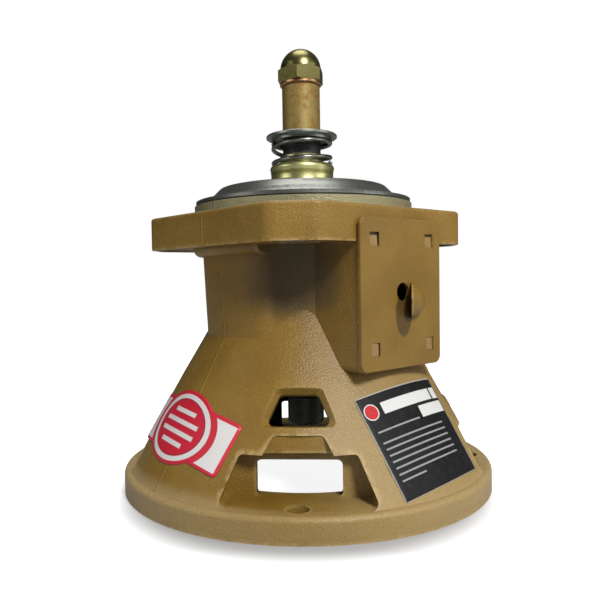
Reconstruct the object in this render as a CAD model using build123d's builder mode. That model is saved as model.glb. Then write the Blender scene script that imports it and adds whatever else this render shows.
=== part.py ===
from build123d import *
from math import cos, hypot, pi, radians, sin
import os

os.makedirs("parts", exist_ok=True)

# Fits between pieces
pressed_gap = 0.02
running_gap = 0.04
free_gap = 0.35
felt_gap = 0.15

# Motor flange and bell of the casting, which stands on z = 0 with the shaft along Z
bell_foot_radius = 73.6
base_ledge = 2.6
base_thickness = 9.0
base_bore_lip = 0.4
base_bore_chamfer = 1.0
base_edge_radius = 2.0
motor_bolt_inset = 8.2
motor_hole_radius = 4.0
bell_wall = 5.0
bell_ceiling_z = 52.0
bell_ceiling_fillet = 5.0

# One of the four alike sides of the bell: a screw pocket, its step and two windows
side_count = 4
screw_room = 12.5
screw_pocket_top_z = 25.3
screw_pocket_foot_half = 27.4
screw_pocket_top_half = 20.0
pocket_corner_radius = 2.0
pocket_wall = 3.6
step_lift = 3.8
step_top_z = 31.4
step_foot_half = 12.1
step_top_half = 8.5
lower_window_half = 15.0
lower_window_top_z = 22.0
upper_window_foot_z = 33.5
upper_window_top_z = 43.5
upper_window_foot_half = 11.6
upper_window_top_half = 6.8
window_corner_radius = 2.0
window_bevel_foot = 3.8
window_bevel_top = 1.9
window_bevel_rise = 1.5
window_bevel_depth = 3.0

# Volute flange: a square on its corner, with the corners cut off
flange_foot_z = 97.2
flange_thickness = 13.3
flange_half_width = 51.3
flange_corner_cut = 12.66
flange_corner_radius = 7.0
flange_edge_radius = 1.2
volute_bolt_inset = 11.6
volute_hole_radius = 5.2
spotface_radius = 9.5
spotface_depth = 0.8
register_inset = 5.9
register_height = 4.1

# Neck with a scallop under each corner of the volute flange
neck_inset = 8.2
neck_taper = 1.5
neck_foot_z = 62.5
neck_flare = 3.5
scallop_wall = 6.8
scallop_edge_radius = 7.0

# Oil chamber in the neck
chamber_wall = 6.7
chamber_corner_radius = 13.0
chamber_floor = 5.0
chamber_roof = 7.5

# Oil well box on the side of the neck, its opening and its cover
oil_box_azimuth = 45.0
oil_box_share = 0.42
oil_box_lift = 0.6
oil_box_foot_z = 51.0
oil_box_wall = 3.0
oil_box_edge_radius = 2.5
well_top_drop = 9.5
well_corner_radius = 3.0
well_gasket_thickness = 0.5
cover_overhang = 0.8
cover_foot_lift = 0.2
cover_top_drop = 4.8
cover_thickness = 1.2
cover_corner_radius = 3.0
cover_edge_radius = 0.4
tab_size = 5.0
tab_inset = 7.0
tab_edge_distance = 7.75
tab_side_tilt = 8.0
tab_top_tilt = 3.5
hood_rise_share = 0.45
hood_half_height = 6.8
hood_rise = 5.0
hood_sheet = 1.0
hood_lip_foot = 5.0
hood_lip_crest = -1.2
hood_tail = 12.0
oil_hole_radius = 3.4
oil_hole_lift = 3.3

# Two bearing bosses, one under and one over the thrust collar
boss_wall = 5.0
lower_boss_drop = 16.0
lower_boss_rise = 9.0
upper_boss_drop = 1.5
collar_space_share = 0.42
slinger_well_radius = 22.0

# Shaft, sleeve bearings and thrust collar
shaft_radius = 7.94
shaft_foot_drop = 13.0
shaft_shoulder_lift = 0.4
shaft_chamfer = 1.0
coupling_end_radius = 7.7
coupling_end_gap = 1.0
sleeve_seat_radius = 6.35
thread_radius = 5.5
bearing_wall = 3.0
bearing_inset = 0.5
wick_width = 5.0
wick_height = 7.0
wick_strip = 4.0
wick_room = 4.5
lower_wick_reach = 24.0
thrust_washer_thickness = 1.6
thrust_washer_radius = 13.5
thrust_play = 0.15
collar_radius = 13.0
collar_screw_radius = 2.5
collar_screw_socket_radius = 1.2
collar_screw_socket_depth = 2.0
slinger_radius = 12.5
slinger_thickness = 2.5
slinger_lift = 0.5

# Face plate, pressed from sheet, on its gasket
face_gasket_thickness = 0.6
face_plate_sheet = 1.3
face_plate_inset = 0.6
face_plate_rise = 6.9
face_ledge = 4.6
face_cone = 5.6
face_step_foot_bend = 2.4
face_step_top_bend = 2.2
face_collar_bend = 1.5
face_collar_depth = 8.6

# Stationary half of the shaft seal
seat_bore_gap = 1.7
seat_wall = 2.68
seat_cup_wall = 1.5
seat_cup_lip = 2.0
seat_lift = 0.2

# Turning half of the shaft seal
seal_face_gap = 0.05
seal_face_height = 3.6
shell_overhang = 0.6
shell_lift = 0.3
shell_height = 9.6
shell_wall = 1.1
shell_waist = 0.4
shell_shoulder_radius = 1.8
bellows_wall = 0.95
bellows_skirt = 2.6
seal_seat_on_sleeve_radius = 7.0
drive_band_wall = 1.2
drive_band_height = 4.2
drive_band_edge = 0.6

# Seal spring, with its end coils closed and lying flat
spring_wire_radius = 0.9
spring_coil_radius = 12.0
spring_height = 9.9
spring_turns = 2.5
spring_closed_turns = 0.5
spring_points_per_turn = 12

# Spring retainer, shaft sleeve and cap nut
retainer_rim_radius = 14.9
retainer_rim_thickness = 1.3
retainer_step_radius = 12.8
retainer_step_thickness = 1.1
retainer_edge_chamfer = 0.3
sleeve_radius = 7.95
sleeve_showing = 20.5
sleeve_chamfer = 0.4
nut_washer_radius = 8.75
nut_washer_thickness = 1.2
nut_flats = 17.5
nut_hex_height = 5.8
nut_dome_inset = 0.25
nut_chamfer_drop = 0.9
nut_turn = -6.0
nut_thread_depth = 10.5

# Radii and heights of the casting that follow from the sizes above
overshoot = 1.0
neck_top_radius = flange_half_width - neck_inset
neck_foot_radius = neck_top_radius - neck_taper
base_radius = bell_foot_radius + base_ledge
motor_bolt_circle_radius = base_radius - motor_bolt_inset
screw_pocket_depth_plane = motor_bolt_circle_radius - screw_room
step_depth_plane = screw_pocket_depth_plane + step_lift
base_bore_radius = screw_pocket_depth_plane - pocket_wall - base_bore_lip
bell_slope = (bell_foot_radius - neck_foot_radius) / (neck_foot_z - base_thickness)
bell_cosine = 1 / hypot(1, bell_slope)
bell_wall_across = bell_wall / bell_cosine
scallop_foot_z = neck_foot_z - bell_wall
flange_top_z = flange_foot_z + flange_thickness
register_radius = flange_half_width - register_inset
register_top_z = flange_top_z + register_height
flange_corner_reach = (2 * flange_half_width - flange_corner_cut) / 2**0.5
volute_bolt_circle_radius = flange_corner_reach - volute_bolt_inset
chamber_reach = neck_foot_radius - chamber_wall
chamber_half = (chamber_reach - chamber_corner_radius) / 2**0.5 + chamber_corner_radius
chamber_foot_z = bell_ceiling_z + chamber_floor
chamber_top_z = flange_top_z - chamber_roof
scallop_radius = volute_bolt_circle_radius - chamber_half - scallop_wall
bell_top_radius = volute_bolt_circle_radius - scallop_radius - overshoot
bell_top_z = base_thickness + (bell_foot_radius - bell_top_radius) / bell_slope
step_slope = (step_foot_half - step_top_half) / (step_top_z - screw_pocket_top_z)

# Oil well, from the casting's box out to the cover
oil_box_half = flange_half_width * oil_box_share
oil_box_face = flange_half_width + oil_box_lift
well_half = oil_box_half - oil_box_wall
well_top_z = flange_top_z - well_top_drop
well_mid_z = (chamber_foot_z + well_top_z) / 2
well_gasket_face = oil_box_face + well_gasket_thickness
cover_half = oil_box_half + cover_overhang
cover_foot_z = oil_box_foot_z + cover_foot_lift
cover_top_z = flange_top_z - cover_top_drop
cover_mid_z = (cover_foot_z + cover_top_z) / 2
cover_face = well_gasket_face + cover_thickness
tab_offset = cover_half - tab_inset
tab_heights = (cover_foot_z + tab_edge_distance, cover_top_z - tab_edge_distance)
hood_z = cover_foot_z + (cover_top_z - cover_foot_z) * hood_rise_share
oil_hole_z = hood_z + oil_hole_lift

# Bearings and thrust collar
bearing_bore_radius = shaft_radius + running_gap
bearing_outer_radius = bearing_bore_radius + bearing_wall
boss_bore_radius = bearing_outer_radius + pressed_gap
boss_radius = boss_bore_radius + boss_wall
lower_boss_foot_z = bell_ceiling_z - lower_boss_drop
lower_boss_top_z = chamber_foot_z + lower_boss_rise
upper_boss_top_z = flange_top_z - upper_boss_drop
upper_boss_foot_z = lower_boss_top_z + (upper_boss_top_z - lower_boss_top_z) * collar_space_share
lower_wick_z = lower_boss_top_z - wick_room
upper_wick_z = upper_boss_foot_z + 2 * wick_room
collar_foot_z = lower_boss_top_z + thrust_washer_thickness + thrust_play
collar_top_z = upper_boss_foot_z - thrust_washer_thickness - thrust_play
collar_mid_z = (collar_foot_z + collar_top_z) / 2

# Heights and radii of the shaft, face plate and seal
shaft_foot_z = lower_boss_foot_z - shaft_foot_drop
coupling_end_top_z = lower_boss_foot_z - coupling_end_gap
shaft_shoulder_z = register_top_z + shaft_shoulder_lift
face_plate_foot_z = register_top_z + face_gasket_thickness
face_plate_top_z = face_plate_foot_z + face_plate_rise
face_plate_radius = register_radius - face_plate_inset
face_step_foot_radius = face_plate_radius - face_ledge
face_step_top_radius = face_step_foot_radius - face_cone
seat_bore_radius = seal_seat_on_sleeve_radius + seat_bore_gap
seat_radius = seat_bore_radius + seat_wall
cup_inner_radius = seat_radius + pressed_gap
cup_outer_radius = cup_inner_radius + seat_cup_wall
cup_floor_radius = cup_inner_radius - seat_cup_lip
face_collar_radius = cup_outer_radius + pressed_gap
face_collar_foot_z = face_plate_top_z - face_collar_depth
cup_floor_top_z = face_collar_foot_z + seat_cup_wall
cup_top_z = face_plate_top_z - face_collar_bend
seat_top_z = face_plate_top_z + seat_lift
seal_face_foot_z = seat_top_z + seal_face_gap
seal_face_top_z = seal_face_foot_z + seal_face_height
shell_radius = cup_outer_radius + shell_overhang
shell_bore = shell_radius - shell_wall - shell_waist
shell_foot_z = seat_top_z + shell_lift
shell_top_z = shell_foot_z + shell_height
bellows_bore = seal_seat_on_sleeve_radius + pressed_gap
bellows_radius = bellows_bore + bellows_wall
seal_grip_radius = bellows_radius + pressed_gap
drive_band_radius = seal_grip_radius + drive_band_wall
spring_top_z = shell_top_z + spring_height
bellows_top_z = spring_top_z - bearing_inset
retainer_bore = sleeve_radius + free_gap
retainer_rim_foot_z = spring_top_z + retainer_step_thickness
retainer_top_z = retainer_rim_foot_z + retainer_rim_thickness
sleeve_top_z = retainer_top_z + sleeve_showing
nut_foot_z = sleeve_top_z + nut_washer_thickness
nut_dome_z = nut_foot_z + nut_hex_height
nut_dome_radius = nut_flats / 2 - nut_dome_inset
thread_top_z = nut_foot_z + nut_thread_depth - shaft_chamfer

# Upright plane facing the oil box: local x runs round the casting, local y is Z
box_plane = Plane(
    origin=(0, 0, 0),
    x_dir=(cos(radians(oil_box_azimuth)), sin(radians(oil_box_azimuth)), 0),
    z_dir=(sin(radians(oil_box_azimuth)), -cos(radians(oil_box_azimuth)), 0),
)


def bell_radius(z):
    """Outer radius of the bell at a height."""
    return bell_foot_radius - (z - base_thickness) * bell_slope


def trapezoid(plane, foot_y, top_y, foot_half, top_half, corner_radius):
    """Symmetrical trapezoid with rounded corners, drawn on a plane."""
    with BuildSketch(plane) as outline:
        Polygon(
            (-foot_half, foot_y), (foot_half, foot_y), (top_half, top_y), (-top_half, top_y),
            align=None,
        )
        fillet(outline.vertices(), corner_radius)
    return outline.sketch


def box_rectangle(depth, half_width, foot_z, top_z, corner_radius):
    """Upright rounded rectangle on the oil box's plane, at a distance from the shaft."""
    with BuildSketch(box_plane.offset(depth)) as outline:
        with Locations((0, (foot_z + top_z) / 2)):
            RectangleRounded(2 * half_width, top_z - foot_z, corner_radius)
    return outline.sketch


def turned(points):
    """Solid of revolution about the shaft from a closed outline of (radius, z) points."""
    with BuildSketch(Plane.XZ) as outline:
        with BuildLine():
            Polyline(*points, close=True)
        make_face()
    revolve(outline.sketch, axis=Axis.Z)


def ring(inner_radius, outer_radius, foot_z, top_z):
    """Plain ring about the shaft."""
    with BuildSketch(Plane.XY.offset(foot_z)) as outline:
        Circle(outer_radius)
        Circle(inner_radius, mode=Mode.SUBTRACT)
    extrude(outline.sketch, amount=top_z - foot_z)


def rims(part, radius):
    """Round edges of a part at one radius, lowest first."""
    circles = part.edges().filter_by(GeomType.CIRCLE)
    return circles.filter_by(lambda edge: abs(edge.radius - radius) < running_gap).sort_by(Axis.Z)


def finish(part, node):
    """Label a finished piece and write it to its own file."""
    part.label = node
    export_step(part, f"parts/{node}.step")


# Neck: a tapered drum that flares into the flange, hollowed under each flange corner
with BuildPart() as neck_form:
    with BuildSketch(Plane.XZ):
        with BuildLine():
            flare_foot = (neck_top_radius, flange_foot_z - neck_flare)
            flare_top = (neck_top_radius + neck_flare, flange_foot_z)
            Polyline(
                flare_top, (flare_top[0], flange_foot_z + overshoot), (0, flange_foot_z + overshoot),
                (0, scallop_foot_z), (neck_foot_radius, scallop_foot_z),
                (neck_foot_radius, neck_foot_z), flare_foot,
            )
            RadiusArc(flare_foot, flare_top, -neck_flare)
        make_face()
    revolve(axis=Axis.Z)
    with BuildSketch(Plane.XY.offset(scallop_foot_z)):
        with PolarLocations(volute_bolt_circle_radius, side_count):
            Circle(scallop_radius)
    extrude(amount=flange_foot_z - scallop_foot_z, mode=Mode.SUBTRACT)
    scallop_edges = neck_form.edges().filter_by(
        lambda edge: edge.length > (flange_foot_z - neck_foot_z) / 2
        and abs(edge.tangent_at(0.5).Z) > bell_cosine
    )
    fillet(scallop_edges, scallop_edge_radius)

# Backing that closes a screw pocket and its step off from the inside of the bell
with BuildPart() as pocket_backing:
    screw_pocket_back = trapezoid(
        Plane.XZ.offset(screw_pocket_depth_plane - pocket_wall),
        0, screw_pocket_top_z + pocket_wall,
        screw_pocket_foot_half + pocket_wall, screw_pocket_top_half + pocket_wall,
        pocket_corner_radius,
    )
    extrude(screw_pocket_back, amount=base_radius - screw_pocket_depth_plane)
    step_back = trapezoid(
        Plane.XZ.offset(step_depth_plane - pocket_wall),
        screw_pocket_top_z, step_top_z + pocket_wall / 2,
        step_foot_half + pocket_wall, step_top_half + pocket_wall / 2,
        pocket_corner_radius,
    )
    extrude(step_back, amount=pocket_wall + overshoot)
    with BuildSketch(Plane.XZ):
        with BuildLine():
            Polyline(
                (0, 0), (bell_foot_radius - overshoot, 0),
                (bell_foot_radius - overshoot, base_thickness),
                (neck_foot_radius - overshoot, neck_foot_z), (0, neck_foot_z), close=True,
            )
        make_face()
    revolve(axis=Axis.Z, mode=Mode.INTERSECT)

# Plane of the upper window's land, parallel to the wall of the bell at the bevel's depth
window_mid_z = (upper_window_foot_z + upper_window_top_z) / 2
window_half_rise = (upper_window_top_z - upper_window_foot_z) / 2 / bell_cosine
window_plane = Plane(
    origin=(0, window_bevel_depth / bell_cosine - bell_radius(window_mid_z), window_mid_z),
    x_dir=(1, 0, 0),
    z_dir=(0, -1, bell_slope),
)

# Everything that is cut into one side of the bell
with BuildPart() as side_cut:
    screw_pocket = trapezoid(
        Plane.XZ.offset(screw_pocket_depth_plane), base_thickness, screw_pocket_top_z,
        screw_pocket_foot_half, screw_pocket_top_half, pocket_corner_radius,
    )
    extrude(screw_pocket, amount=base_radius - screw_pocket_depth_plane)
    step = trapezoid(
        Plane.XZ.offset(step_depth_plane), screw_pocket_top_z - pocket_wall, step_top_z,
        step_foot_half + pocket_wall * step_slope, step_top_half, pocket_corner_radius,
    )
    extrude(step, amount=base_radius - step_depth_plane)
    lower_window = trapezoid(
        Plane.XZ.offset(screw_pocket_depth_plane - 2 * pocket_wall),
        base_thickness, lower_window_top_z,
        lower_window_half, lower_window_half, window_corner_radius,
    )
    extrude(lower_window, amount=3 * pocket_wall)
    window_land = trapezoid(
        window_plane, -window_half_rise, window_half_rise,
        upper_window_foot_half, upper_window_top_half, window_corner_radius,
    )
    extrude(window_land, amount=-2 * bell_wall)
    bevel_share = (window_bevel_depth + overshoot) / window_bevel_depth
    window_mouth = trapezoid(
        window_plane.offset(window_bevel_depth + overshoot),
        -window_half_rise - window_bevel_rise * bevel_share,
        window_half_rise + window_bevel_rise * bevel_share,
        upper_window_foot_half + window_bevel_foot * bevel_share,
        upper_window_top_half + window_bevel_top * bevel_share,
        window_corner_radius,
    )
    loft(sections=[window_land, window_mouth])
    with BuildSketch(Plane.XY):
        with Locations((0, -motor_bolt_circle_radius)):
            Circle(motor_hole_radius)
    extrude(amount=base_thickness)

# The bracket casting
with BuildPart() as bearing_bracket:
    # Motor flange and bell, carried up into the neck as far as the scallops lay it open
    turned([
        (0, 0), (base_radius, 0), (base_radius, base_thickness), (bell_foot_radius, base_thickness),
        (bell_top_radius, bell_top_z), (0, bell_top_z),
    ])
    fillet(rims(bearing_bracket, base_radius)[-1], base_edge_radius)
    add(neck_form.part)

    # Volute flange with rounded corners
    with BuildSketch(Plane.XY.offset(flange_foot_z)) as flange_sketch:
        Rectangle(2 * flange_half_width, 2 * flange_half_width, rotation=45)
        chamfer(flange_sketch.vertices(), flange_corner_cut)
        fillet(flange_sketch.vertices(), flange_corner_radius)
    extrude(amount=flange_thickness)
    flange_top = bearing_bracket.faces().filter_by(Axis.Z).sort_by(Axis.Z)[-1]
    fillet(flange_top.outer_wire().edges(), flange_edge_radius)

    # Oil box, from the neck out to its machined face
    oil_box = box_rectangle(
        oil_box_face, oil_box_half, oil_box_foot_z, flange_foot_z + flange_thickness / 2,
        oil_box_edge_radius,
    )
    extrude(oil_box, amount=chamber_half - oil_box_face)

    # Register that centres the volute
    with BuildSketch(Plane.XY.offset(flange_top_z)):
        Circle(register_radius)
    extrude(amount=register_height)

    # Inside of the bell, open at the motor flange
    with BuildSketch(Plane.XZ) as bell_inside:
        with BuildLine():
            Polyline(
                (0, 0), (base_bore_radius, 0), (base_bore_radius, base_thickness),
                (bell_radius(base_thickness) - bell_wall_across, base_thickness),
                (bell_radius(bell_ceiling_z) - bell_wall_across, bell_ceiling_z),
                (boss_radius, bell_ceiling_z), (boss_radius, lower_boss_foot_z),
                (0, lower_boss_foot_z), close=True,
            )
        make_face()
        ceiling_corners = bell_inside.vertices().filter_by(
            lambda vertex: abs(vertex.Z - bell_ceiling_z) < running_gap
        )
        fillet(ceiling_corners, bell_ceiling_fillet)
    revolve(axis=Axis.Z, mode=Mode.SUBTRACT)
    chamfer(rims(bearing_bracket, base_bore_radius)[0], base_bore_chamfer)

    # Screw pockets and windows round the bell
    with PolarLocations(0, side_count):
        add(pocket_backing.part)
    with PolarLocations(0, side_count):
        add(side_cut.part, mode=Mode.SUBTRACT)

    # Oil chamber, and the well that opens it to the cover
    with BuildSketch(Plane.XY.offset(chamber_foot_z)):
        RectangleRounded(2 * chamber_half, 2 * chamber_half, chamber_corner_radius)
    extrude(amount=chamber_top_z - chamber_foot_z, mode=Mode.SUBTRACT)
    well_mouth = box_rectangle(
        oil_box_face, well_half, chamber_foot_z, well_top_z, well_corner_radius,
    )
    extrude(well_mouth, amount=chamber_half - chamber_corner_radius - oil_box_face, mode=Mode.SUBTRACT)

    # Bearing bosses and the recess over the upper one
    for boss_foot_z, boss_top_z in (
        (lower_boss_foot_z, lower_boss_top_z), (upper_boss_foot_z, upper_boss_top_z),
    ):
        with BuildSketch(Plane.XY.offset(boss_foot_z)):
            Circle(boss_radius)
        extrude(amount=boss_top_z - boss_foot_z)
    with BuildSketch(Plane.XY.offset(upper_boss_top_z)):
        Circle(slinger_well_radius)
    extrude(amount=register_top_z - upper_boss_top_z, mode=Mode.SUBTRACT)
    with BuildSketch(Plane.XY.offset(lower_boss_foot_z)):
        Circle(boss_bore_radius)
    extrude(amount=upper_boss_top_z - lower_boss_foot_z, mode=Mode.SUBTRACT)

    # Wick slots through the bosses, towards the oil well
    for wick_z in (lower_wick_z, upper_wick_z):
        with BuildSketch(box_plane):
            with Locations((0, wick_z)):
                Rectangle(wick_width, wick_height)
        extrude(amount=boss_radius + overshoot, mode=Mode.SUBTRACT)

    # Bolt holes of the volute flange, with a spotface below each
    with BuildSketch(Plane.XY.offset(flange_foot_z)):
        with PolarLocations(volute_bolt_circle_radius, side_count):
            Circle(volute_hole_radius)
    extrude(amount=flange_thickness, mode=Mode.SUBTRACT)
    with BuildSketch(Plane.XY.offset(flange_foot_z)):
        with PolarLocations(volute_bolt_circle_radius, side_count):
            Circle(spotface_radius)
    extrude(amount=spotface_depth, mode=Mode.SUBTRACT)
finish(bearing_bracket.part, "bearing_bracket")


# Sleeve bearings, each with a window for its wick
def make_bearing(foot_z, top_z, wick_z, node):
    with BuildPart() as bearing:
        ring(bearing_bore_radius, bearing_outer_radius, foot_z, top_z)
        with BuildSketch(box_plane):
            with Locations((0, wick_z)):
                Rectangle(wick_width, wick_height)
        extrude(amount=bearing_outer_radius + overshoot, mode=Mode.SUBTRACT)
    finish(bearing.part, node)


make_bearing(lower_boss_foot_z + bearing_inset, lower_boss_top_z, lower_wick_z, "lower_bearing")
make_bearing(upper_boss_foot_z, upper_boss_top_z - bearing_inset, upper_wick_z, "upper_bearing")


# Felt wicks: each bears on the shaft and reaches the oil at the chamber floor
wick_inner = shaft_radius + free_gap
wick_half_width = wick_width / 2 - felt_gap
wick_half_height = wick_height / 2 - felt_gap
with BuildPart() as lower_oil_wick:
    with BuildSketch(box_plane.offset(wick_inner)):
        with Locations((0, lower_wick_z)):
            Rectangle(2 * wick_half_width, 2 * wick_half_height)
    extrude(amount=lower_wick_reach - wick_inner)
finish(lower_oil_wick.part, "lower_oil_wick")

with BuildPart() as upper_oil_wick:
    strip_plane = lower_wick_reach + felt_gap
    with BuildSketch(box_plane.offset(wick_inner)):
        with Locations((0, upper_wick_z)):
            Rectangle(2 * wick_half_width, 2 * wick_half_height)
    extrude(amount=strip_plane + wick_strip - wick_inner)
    with BuildSketch(box_plane.offset(strip_plane)):
        with Locations((0, (chamber_foot_z + felt_gap + upper_wick_z) / 2)):
            Rectangle(2 * wick_half_width, upper_wick_z - chamber_foot_z - felt_gap)
    extrude(amount=wick_strip)
finish(upper_oil_wick.part, "upper_oil_wick")


# Thrust washers on the ends of the bosses, and the collar that runs between them
with BuildPart() as lower_thrust_washer:
    ring(shaft_radius + free_gap, thrust_washer_radius, lower_boss_top_z,
         lower_boss_top_z + thrust_washer_thickness)
finish(lower_thrust_washer.part, "lower_thrust_washer")

with BuildPart() as upper_thrust_washer:
    ring(shaft_radius + free_gap, thrust_washer_radius,
         upper_boss_foot_z - thrust_washer_thickness, upper_boss_foot_z)
finish(upper_thrust_washer.part, "upper_thrust_washer")

with BuildPart() as thrust_collar:
    ring(shaft_radius + pressed_gap, collar_radius, collar_foot_z, collar_top_z)
    with BuildSketch(Plane.XZ):
        with Locations((0, collar_mid_z)):
            Circle(collar_screw_radius + pressed_gap)
    extrude(amount=collar_radius + overshoot, mode=Mode.SUBTRACT)
finish(thrust_collar.part, "thrust_collar")

with BuildPart() as collar_set_screw:
    with BuildSketch(Plane.XZ.offset(shaft_radius + pressed_gap)):
        with Locations((0, collar_mid_z)):
            Circle(collar_screw_radius)
    extrude(amount=collar_radius - shaft_radius - 2 * pressed_gap)
    with BuildSketch(Plane.XZ.offset(collar_radius - pressed_gap)):
        with Locations((0, collar_mid_z)):
            RegularPolygon(collar_screw_socket_radius, 6, major_radius=False)
    extrude(amount=-collar_screw_socket_depth, mode=Mode.SUBTRACT)
finish(collar_set_screw.part, "collar_set_screw")


# Shaft: coupling end, full size in the bearings, then the sleeve's seat and the threaded end
with BuildPart() as shaft:
    turned([
        (0, shaft_foot_z), (coupling_end_radius - shaft_chamfer, shaft_foot_z),
        (coupling_end_radius, shaft_foot_z + shaft_chamfer),
        (coupling_end_radius, coupling_end_top_z), (shaft_radius, coupling_end_top_z),
        (shaft_radius, shaft_shoulder_z),
        (sleeve_seat_radius, shaft_shoulder_z), (sleeve_seat_radius, sleeve_top_z),
        (thread_radius, sleeve_top_z), (thread_radius, thread_top_z - shaft_chamfer),
        (thread_radius - shaft_chamfer, thread_top_z), (0, thread_top_z),
    ])
finish(shaft.part, "shaft")

# Slinger that throws leaked water off before the upper bearing
with BuildPart() as water_slinger:
    slinger_foot_z = upper_boss_top_z + slinger_lift
    slinger_bore = shaft_radius + pressed_gap
    turned([
        (slinger_bore, slinger_foot_z), (slinger_radius, slinger_foot_z + slinger_lift),
        (slinger_radius, slinger_foot_z + 2 * slinger_lift),
        (slinger_bore + bearing_wall, slinger_foot_z + slinger_thickness),
        (slinger_bore, slinger_foot_z + slinger_thickness),
    ])
finish(water_slinger.part, "water_slinger")


# Oil well gasket: a frame of the box face's outline
with BuildPart() as oil_well_gasket:
    gasket_outline = box_rectangle(
        oil_box_face, oil_box_half - well_gasket_thickness, cover_foot_z + well_gasket_thickness,
        cover_top_z - well_gasket_thickness, oil_box_edge_radius,
    )
    extrude(gasket_outline, amount=well_gasket_thickness)
    extrude(well_mouth, amount=well_gasket_thickness, mode=Mode.SUBTRACT)
finish(oil_well_gasket.part, "oil_well_gasket")

# Oil well cover: a pressed plate with four lanced tabs and a hooded oil hole
hood_axis = cover_face - (hood_half_height**2 - hood_rise**2) / (2 * hood_rise)
hood_radius = cover_face + hood_rise - hood_axis
hood_tail_radius = cover_face - hood_axis
hood_reach = hood_tail - hood_lip_crest
with BuildPart() as hood_form:
    hood_plane = Plane(
        origin=box_plane.from_local_coords((0, hood_z, hood_axis)),
        x_dir=box_plane.x_dir, z_dir=box_plane.y_dir,
    )
    for trim in (0, hood_sheet):
        with BuildSketch(hood_plane):
            with BuildLine():
                crown = (hood_lip_crest + hood_reach / 3, hood_radius - trim)
                tail = (hood_tail - trim, hood_tail_radius - trim)
                Polyline(
                    tail, (tail[0], 0), (hood_lip_crest - hood_reach / 3, 0),
                    (hood_lip_crest - hood_reach / 3, hood_radius - trim), crown,
                )
                TangentArc(crown, tail, tangent=(1, 0))
            make_face()
        revolve(
            axis=Axis(hood_plane.origin, hood_plane.x_dir),
            mode=Mode.ADD if trim == 0 else Mode.SUBTRACT,
        )
    # Keep what stands in front of the plate and right of the lip, which leans out over the hole
    with BuildSketch(Plane(
        origin=box_plane.from_local_coords((0, hood_z, cover_face)),
        x_dir=box_plane.x_dir, z_dir=-box_plane.y_dir,
    )):
        hood_lean = (hood_lip_foot - hood_lip_crest) / hood_rise
        hood_root = -cover_thickness / 2
        Polygon(
            (hood_lip_foot - hood_lean * hood_root, hood_root), (2 * hood_tail, hood_root),
            (2 * hood_tail, 2 * hood_rise), (hood_lip_foot - hood_lean * 2 * hood_rise, 2 * hood_rise),
            align=None,
        )
    extrude(amount=2 * hood_half_height, both=True, mode=Mode.INTERSECT)

with BuildPart() as oil_well_cover:
    cover_outline = box_rectangle(
        well_gasket_face, cover_half, cover_foot_z, cover_top_z, cover_corner_radius,
    )
    extrude(cover_outline, amount=cover_thickness)
    cover_rim = oil_well_cover.faces().sort_by(Axis(box_plane.origin, box_plane.z_dir))[-1]
    fillet(cover_rim.outer_wire().edges(), cover_edge_radius)
    with BuildSketch(box_plane.offset(well_gasket_face)):
        with Locations((0, oil_hole_z)):
            Circle(oil_hole_radius)
    extrude(amount=cover_thickness, mode=Mode.SUBTRACT)
    add(hood_form.part)
    # Each tab is sheared along two edges and pushed in, deepest at its upper right corner
    for tab_z in tab_heights:
        for tab_t in (-tab_offset, tab_offset):
            tab_corner = Location(
                (tab_t - tab_size / 2, tab_z - tab_size / 2, cover_face),
                (-tab_top_tilt if tab_z > hood_z else 0, tab_side_tilt, 0),
            )
            with BuildSketch(Plane(box_plane.location * tab_corner)):
                Rectangle(tab_size, tab_size, align=(Align.MIN, Align.MIN))
            extrude(amount=tab_size, mode=Mode.SUBTRACT)
finish(oil_well_cover.part, "oil_well_cover")


# Face plate gasket and the dished face plate with its collar for the seal seat
with BuildPart() as face_plate_gasket:
    ring(slinger_well_radius + face_gasket_thickness, face_plate_radius - face_gasket_thickness,
         register_top_z, face_plate_foot_z)
finish(face_plate_gasket.part, "face_plate_gasket")

with BuildPart() as face_plate:
    with BuildSketch(Plane.XZ):
        with BuildLine():
            FilletPolyline(
                (face_plate_radius, face_plate_foot_z + face_plate_sheet),
                (face_step_foot_radius, face_plate_foot_z + face_plate_sheet),
                (face_step_top_radius, face_plate_top_z),
                (face_collar_radius, face_plate_top_z),
                (face_collar_radius, face_collar_foot_z),
                radius=[face_step_foot_bend, face_step_top_bend, face_collar_bend],
            )
            offset(amount=face_plate_sheet, side=Side.LEFT)
        make_face()
    revolve(axis=Axis.Z)
finish(face_plate.part, "face_plate")


# Stationary seal: a rubber cup in the face plate's collar, with the ceramic seat in it
with BuildPart() as seal_seat_cup:
    turned([
        (cup_floor_radius, face_collar_foot_z), (cup_outer_radius, face_collar_foot_z),
        (cup_outer_radius, cup_top_z), (cup_inner_radius, cup_top_z),
        (cup_inner_radius, cup_floor_top_z), (cup_floor_radius, cup_floor_top_z),
    ])
finish(seal_seat_cup.part, "seal_seat_cup")

with BuildPart() as seal_seat:
    ring(seat_bore_radius, seat_radius, cup_floor_top_z, seat_top_z)
finish(seal_seat.part, "seal_seat")


# Turning seal: carbon face, rubber bellows, brass shell, drive band and spring
with BuildPart() as seal_face:
    ring(bellows_radius, shell_bore - seat_lift, seal_face_foot_z, seal_face_top_z)
finish(seal_face.part, "seal_face")

with BuildPart() as seal_bellows:
    skirt_radius = shell_bore - pressed_gap
    skirt_top_z = seal_face_top_z + bellows_skirt
    turned([
        (bellows_bore, seal_face_top_z), (skirt_radius, seal_face_top_z),
        (skirt_radius, skirt_top_z), (bellows_radius, skirt_top_z),
        (bellows_radius, bellows_top_z), (bellows_bore, bellows_top_z),
    ])
finish(seal_bellows.part, "seal_bellows")

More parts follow.
